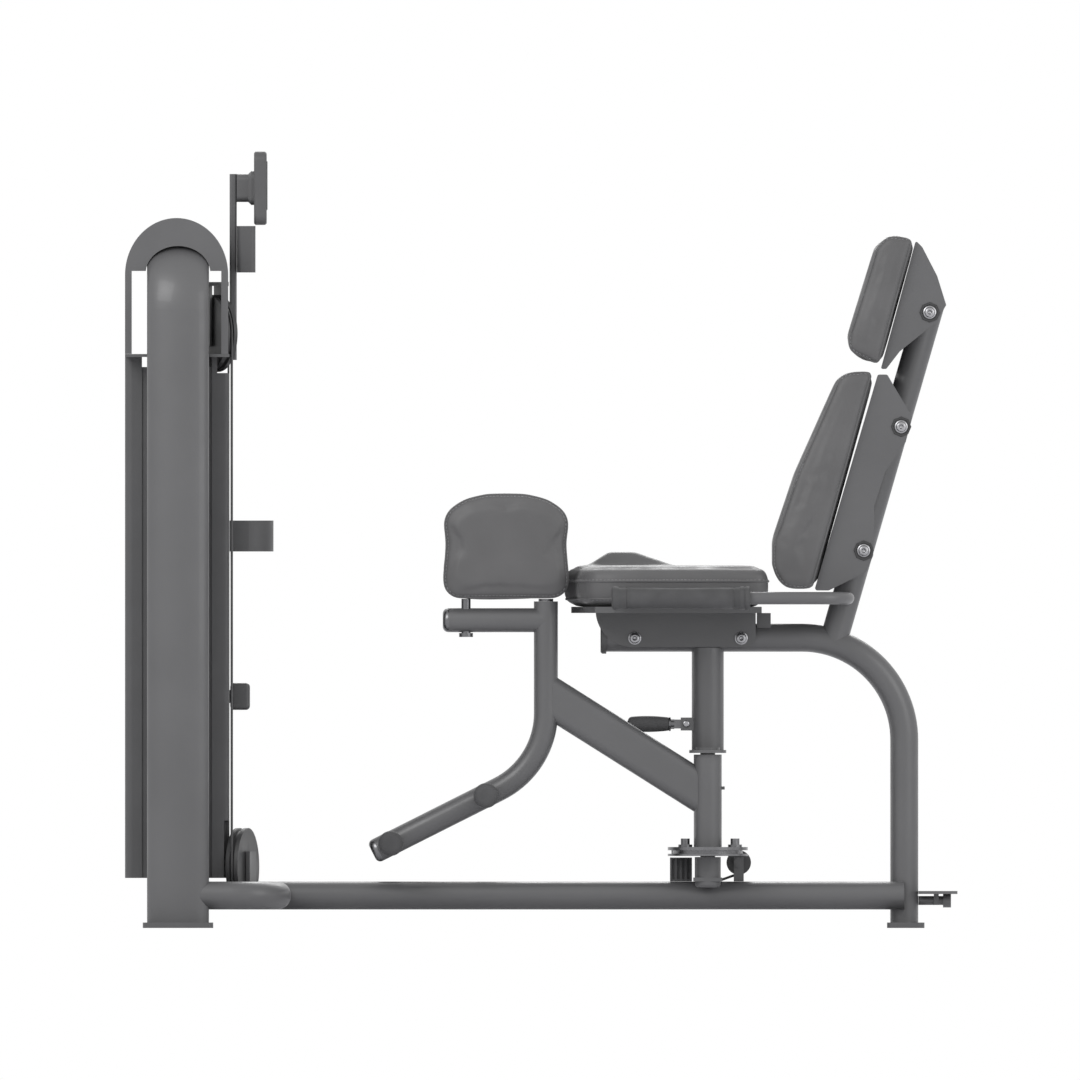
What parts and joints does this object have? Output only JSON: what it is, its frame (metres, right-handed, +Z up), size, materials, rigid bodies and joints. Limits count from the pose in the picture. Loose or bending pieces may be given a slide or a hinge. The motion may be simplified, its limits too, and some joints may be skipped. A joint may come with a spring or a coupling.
{
  "type": "hip adductor and abductor machine",
  "caption": "Seated hip machine: swing arms with thigh pads and foot pegs, padded seat and backrest, and a shrouded weight-stack tower.",
  "frame": {"origin": "on the floor, at the middle of the machine's footprint", "axes": "+X from the weight tower to the backrest, +Z up, symmetric about Y = 0"},
  "size_m": [1.665, 0.64, 1.553],
  "materials": {
    "frame_paint": "satin powder coat",
    "plated_steel": "satin plated steel",
    "stack_iron": "black painted iron",
    "cover_plastic": "fine-grained moulded plastic",
    "screen": "gloss black",
    "pulley_plastic": "moulded nylon",
    "vinyl": "grained upholstery vinyl",
    "seat_board": "painted board",
    "rubber": "moulded rubber",
    "knob_plastic": "satin black",
    "cable": "nylon-coated steel cable"
  },
  "bodies": {
    "root": {"tower_arch": "frame_paint", "base_rail": "frame_paint", "base_yoke": "frame_paint", "foot_plates": "frame_paint", "seat_spine": "frame_paint", "back_tube": "frame_paint", "seat_post": "frame_paint", "pivot_posts": "frame_paint", "rear_tie": "frame_paint", "stack_cross_plates": "frame_paint", "pulley_brackets": "frame_paint", "seat_brackets": "frame_paint", "console_post": "frame_paint", "guide_rods": "plated_steel", "handle_tubes": "plated_steel", "frame_bolts": "plated_steel", "lower_plates": "stack_iron", "front_shroud": "cover_plastic", "rear_shroud": "cover_plastic", "hood": "cover_plastic", "bottle_holder": "cover_plastic", "accessory_tray": "cover_plastic", "console_housing": "cover_plastic", "end_caps": "cover_plastic", "back_shell": "cover_plastic", "head_shell": "cover_plastic", "console_screen": "screen", "seat_cushion": "vinyl", "back_cushion": "vinyl", "head_cushion": "vinyl", "seat_plate": "seat_board", "rubber_bumpers": "rubber", "handle_grips": "rubber", "cables": "cable"},
    "left_arm": {"left_arm_tube": "frame_paint", "left_arm_brace": "frame_paint", "left_pivot_hub": "frame_paint", "left_cable_cam": "plated_steel", "left_thigh_pad": "vinyl", "left_foot_pegs": "rubber", "left_arm_fasteners": "cover_plastic"},
    "right_arm": {"right_arm_tube": "frame_paint", "right_arm_brace": "frame_paint", "right_pivot_hub": "frame_paint", "right_cable_cam": "plated_steel", "right_thigh_pad": "vinyl", "right_foot_pegs": "rubber", "right_arm_fasteners": "cover_plastic"},
    "stack": {"moving_plates": "stack_iron", "head_plate": "stack_iron"},
    "selector": {"selector_pin": "knob_plastic"},
    "lever": {"release_lever": "plated_steel", "lever_grip": "rubber"},
    "left_top_wheel": {"left_top_pulley": "pulley_plastic"},
    "left_bottom_wheel": {"left_bottom_pulley": "pulley_plastic"},
    "left_return_wheel": {"left_return_pulley": "pulley_plastic"},
    "right_top_wheel": {"right_top_pulley": "pulley_plastic"},
    "right_bottom_wheel": {"right_bottom_pulley": "pulley_plastic"},
    "right_return_wheel": {"right_return_pulley": "pulley_plastic"}
  },
  "joints": [
    {"name": "left_arm_swing", "type": "hinge", "parent": "root", "child": "left_arm", "pos_m": [0.333, -0.09, 0.25], "axis": [0, 0, 1], "range_deg": [0, 55]},
    {"name": "right_arm_swing", "type": "hinge", "parent": "root", "child": "right_arm", "pos_m": [0.333, 0.09, 0.25], "axis": [0, 0, -1], "range_deg": [0, 55]},
    {"name": "stack_lift", "type": "slide", "parent": "root", "child": "stack", "axis": [0, 0, 1], "range_m": [0, 0.08]},
    {"name": "selector_pull", "type": "slide", "parent": "stack", "child": "selector", "axis": [1, 0, 0], "range_m": [0, 0.08]},
    {"name": "lever_lift", "type": "hinge", "parent": "root", "child": "lever", "pos_m": [0.29, 0, 0.408], "axis": [0, 1, 0], "range_deg": [0, 14], "stiffness_Nm_per_rad": 0.8, "springref_deg": -28.65},
    {"name": "left_top_spin", "type": "hinge", "parent": "root", "child": "left_top_wheel", "pos_m": [-0.6565, -0.107, 1.189], "axis": [-0.8662, -0.4997, 0], "range_deg": [-60, 0]},
    {"name": "left_bottom_spin", "type": "hinge", "parent": "root", "child": "left_bottom_wheel", "pos_m": [-0.5977, -0.10009, 0.123], "axis": [0.9588, -0.284, 0], "range_deg": [0, 60]},
    {"name": "left_return_spin", "type": "hinge", "parent": "root", "child": "left_return_wheel", "pos_m": [0.395, -0.012, 0.131], "axis": [0, -1, 0], "range_deg": [0, 210]},
    {"name": "right_top_spin", "type": "hinge", "parent": "root", "child": "right_top_wheel", "pos_m": [-0.6565, 0.107, 1.189], "axis": [0.8662, -0.4997, 0], "range_deg": [-60, 0]},
    {"name": "right_bottom_spin", "type": "hinge", "parent": "root", "child": "right_bottom_wheel", "pos_m": [-0.5977, 0.10009, 0.123], "axis": [-0.9588, -0.284, 0], "range_deg": [0, 60]},
    {"name": "right_return_spin", "type": "hinge", "parent": "root", "child": "right_return_wheel", "pos_m": [0.395, 0.012, 0.131], "axis": [0, -1, 0], "range_deg": [0, 210]}
  ],
  "couplings": [
    {"joint": "right_arm_swing", "follows": "left_arm_swing", "ratio": 1},
    {"joint": "stack_lift", "follows": "left_arm_swing", "m_per_rad": 0.078},
    {"joint": "left_top_spin", "follows": "left_arm_swing", "ratio": -1.04},
    {"joint": "left_bottom_spin", "follows": "left_arm_swing", "ratio": 1.04},
    {"joint": "left_return_spin", "follows": "left_arm_swing", "ratio": 3.7143},
    {"joint": "right_top_spin", "follows": "left_arm_swing", "ratio": -1.04},
    {"joint": "right_bottom_spin", "follows": "left_arm_swing", "ratio": 1.04},
    {"joint": "right_return_spin", "follows": "left_arm_swing", "ratio": 3.7143}
  ]
}
